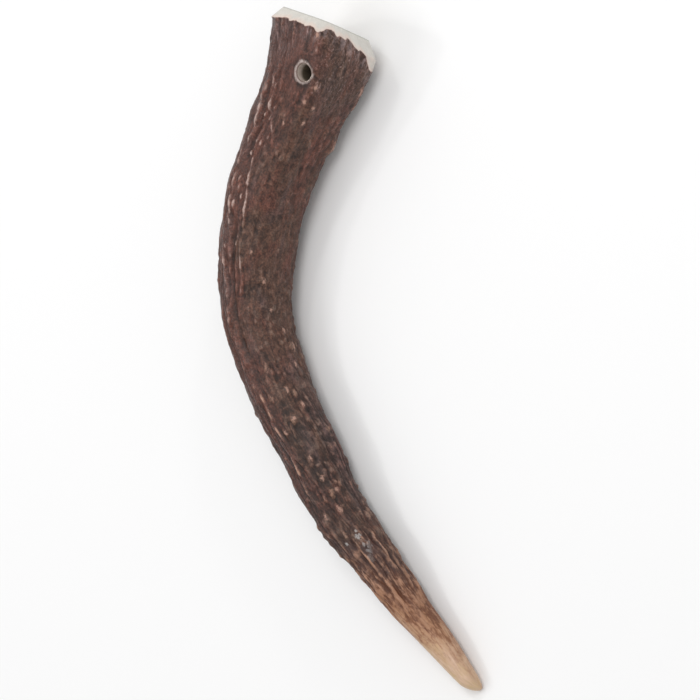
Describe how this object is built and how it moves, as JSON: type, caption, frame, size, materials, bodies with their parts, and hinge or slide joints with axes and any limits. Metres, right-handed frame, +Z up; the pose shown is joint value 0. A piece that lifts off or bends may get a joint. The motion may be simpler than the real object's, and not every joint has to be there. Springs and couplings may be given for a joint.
{
  "type": "deer antler dog chew",
  "caption": "Curved deer antler tine for a dog to chew: ridged brown bark, pale sawn and bevelled end, smooth blunt tip, and a cord hole drilled near the sawn end.",
  "frame": {"origin": "on the surface that the antler lies on, under the middle of its box", "axes": "+Z up; +Y towards the thick sawn end, -Y towards the tip; +X towards the hollow side of the bend"},
  "size_m": [0.1007, 0.2274, 0.0325],
  "materials": {
    "antler": "satin bark, bone where it is cut"
  },
  "bodies": {
    "root": {"antler": "antler"}
  },
  "joints": []
}
